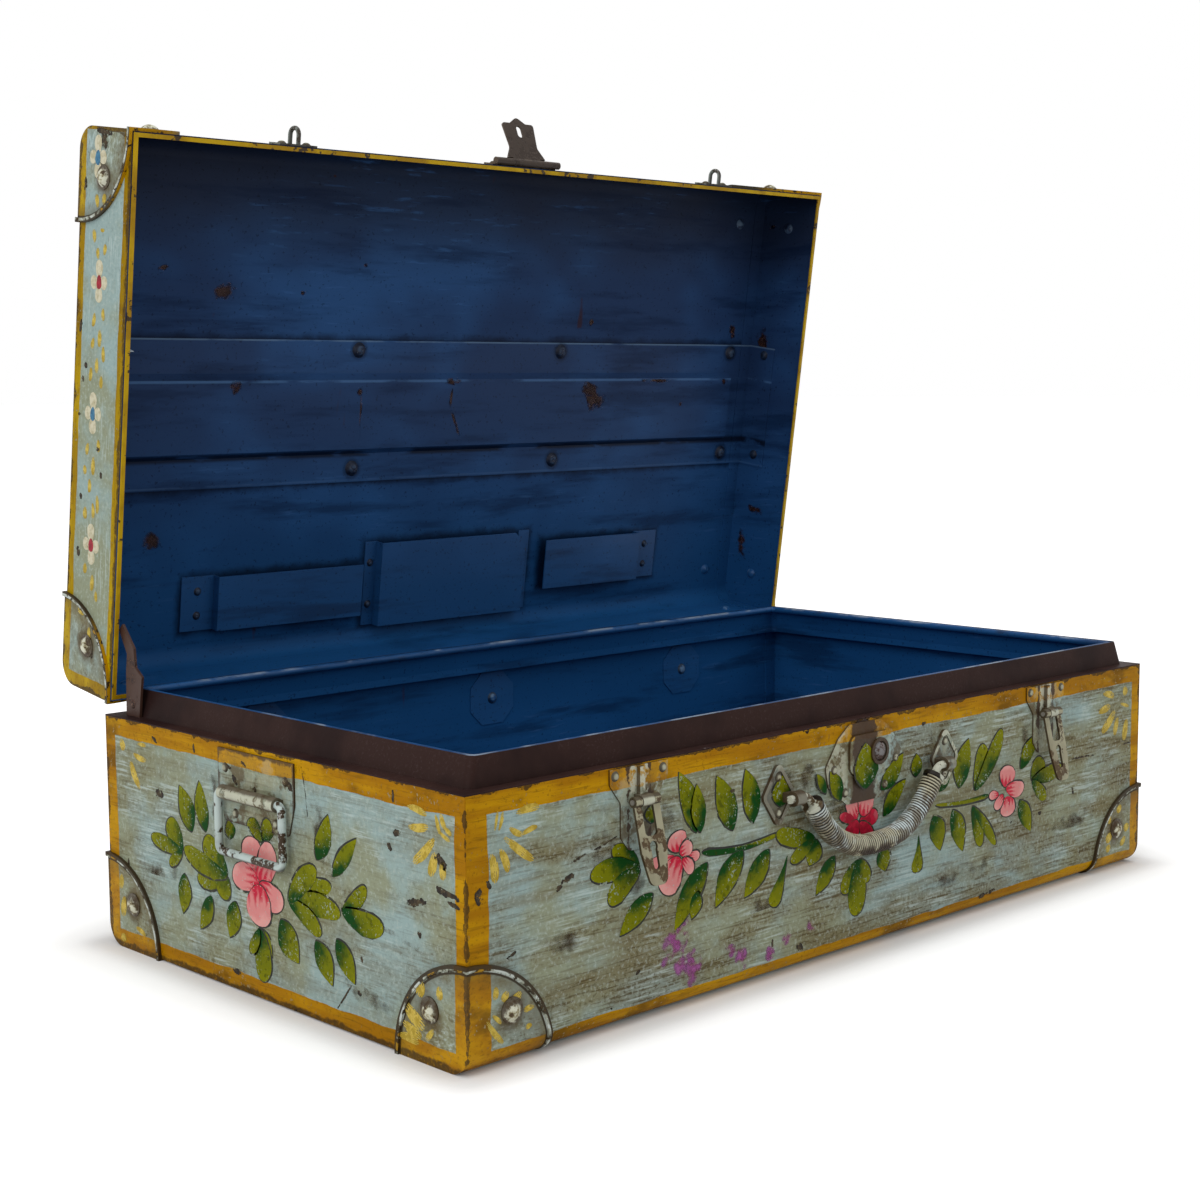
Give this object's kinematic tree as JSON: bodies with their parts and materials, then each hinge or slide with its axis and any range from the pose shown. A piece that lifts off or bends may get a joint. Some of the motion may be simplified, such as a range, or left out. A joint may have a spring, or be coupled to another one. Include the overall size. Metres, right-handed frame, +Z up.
{
  "type": "metal trunk",
  "caption": "Shallow painted sheet-metal trunk, lid standing open, with a stand-up rim, wound front handle, square end bails, swinging latches, hasp and corner guards.",
  "frame": {"origin": "on the floor, at the middle of the base's underside", "axes": "+X to the right along the front, -Y out of the front with the latches, +Z up"},
  "size_m": [0.6798, 0.4384, 0.5553],
  "materials": {
    "base_shell": "pale blue-green paint, worn, ochre bands and painted flowers outside, navy inside",
    "lid_shell": "pale blue-green paint outside, navy inside",
    "lid_band": "ochre paint",
    "lip_paint": "dark chocolate brown paint",
    "inner_paint": "navy blue satin paint with rust spots",
    "guard_paint": "pale paint with yellow dashes, worn edges",
    "hardware_paint": "pale paint worn to dark steel",
    "lock_paint": "pale paint with painted leaves",
    "latch_plate_paint": "pale paint over an ochre band",
    "bail_plate_paint": "pale grimy paint",
    "handle_plate_paint": "pale cream paint with a leaf",
    "bare_copper_brown": "brown paint",
    "bare_steel": "dark aged steel",
    "hasp_metal": "bare brown aged steel",
    "handle_metal": "pale paint worn to steel",
    "winding_wire": "pale painted steel wire with grime",
    "bail_metal": "pale blue paint worn to dark steel",
    "latch_metal": "cream paint worn to steel",
    "button_metal": "polished aged steel"
  },
  "bodies": {
    "base": {"base_wrap": "base_shell", "base_end_left": "base_shell", "base_end_right": "base_shell", "rim_lip": "lip_paint", "rim_bead": "inner_paint", "base_guard_front_left": "guard_paint", "base_guard_front_right": "guard_paint", "base_guard_back_left": "guard_paint", "base_guard_back_right": "guard_paint", "base_guard_rivets": "hardware_paint", "handle_plate_left": "handle_plate_paint", "handle_plate_right": "handle_plate_paint", "handle_plate_rivets": "hardware_paint", "latch_plate_left": "latch_plate_paint", "latch_plate_right": "latch_plate_paint", "latch_plate_rivets": "hardware_paint", "latch_pins": "bare_steel", "lock_plate": "lock_paint", "lock_plate_rivets": "hardware_paint", "lock_case": "inner_paint", "bail_plate_left": "bail_plate_paint", "bail_plate_right": "bail_plate_paint", "bail_plate_rivets": "hardware_paint", "base_hinge_leaves": "hardware_paint", "hinge_pins": "bare_steel", "hinge_backing_plates": "inner_paint", "hinge_rivets": "inner_paint", "lid_stay": "bare_copper_brown", "stay_rivet": "bare_copper_brown"},
    "lid": {"lid_wrap": "lid_shell", "lid_end_left": "lid_shell", "lid_end_right": "lid_shell", "lid_rim": "lid_band", "lid_strap": "inner_paint", "lid_strap_rivets": "inner_paint", "lid_clip_left": "inner_paint", "lid_pocket_plate": "inner_paint", "lid_clip_right": "inner_paint", "lid_clip_rivets": "inner_paint", "lid_guard_front_left": "guard_paint", "lid_guard_front_right": "guard_paint", "lid_guard_back_left": "guard_paint", "lid_guard_back_right": "guard_paint", "lid_guard_rivets": "hardware_paint", "keeper_left": "bare_steel", "keeper_right": "bare_steel", "hasp_base": "hasp_metal", "hasp_pin": "bare_steel", "lid_hinge_leaves": "hardware_paint", "lid_rivets": "hardware_paint"},
    "handle": {"handle_core": "handle_metal", "handle_winding": "winding_wire"},
    "bail_left": {"bail_left": "bail_metal"},
    "bail_right": {"bail_right": "bail_metal"},
    "latch_left": {"latch_lever_left": "latch_metal"},
    "latch_right": {"latch_lever_right": "latch_metal"},
    "button": {"lock_button": "button_metal"},
    "hasp": {"hasp_leaf": "hasp_metal"}
  },
  "joints": [
    {"name": "lid_hinge", "type": "hinge", "parent": "base", "child": "lid", "pos_m": [0, 0.184, 0.158], "axis": [-1, 0, 0], "range_deg": [-82, 0]},
    {"name": "handle_swing", "type": "hinge", "parent": "base", "child": "handle", "pos_m": [0, -0.1905, 0.113], "axis": [-1, 0, 0], "range_deg": [0, 160]},
    {"name": "bail_left_swing", "type": "hinge", "parent": "base", "child": "bail_left", "pos_m": [-0.3356, 0.009, 0.123], "axis": [0, 1, 0], "range_deg": [0, 110]},
    {"name": "bail_right_swing", "type": "hinge", "parent": "base", "child": "bail_right", "pos_m": [0.3356, 0.009, 0.123], "axis": [0, -1, 0], "range_deg": [0, 110]},
    {"name": "latch_left_swing", "type": "hinge", "parent": "base", "child": "latch_left", "pos_m": [-0.203, -0.187, 0.131], "axis": [-1, 0, 0], "range_deg": [-13, 167]},
    {"name": "latch_right_swing", "type": "hinge", "parent": "base", "child": "latch_right", "pos_m": [0.203, -0.187, 0.131], "axis": [-1, 0, 0], "range_deg": [-13, 167]},
    {"name": "lock_button_press", "type": "slide", "parent": "base", "child": "button", "axis": [0, 1, 0], "range_m": [0, 0.003], "stiffness_N_per_m": 200},
    {"name": "hasp_swing", "type": "hinge", "parent": "lid", "child": "hasp", "pos_m": [-0.003, 0.12929, 0.52213], "axis": [-1, 0, 0], "range_deg": [-109, 40]}
  ]
}
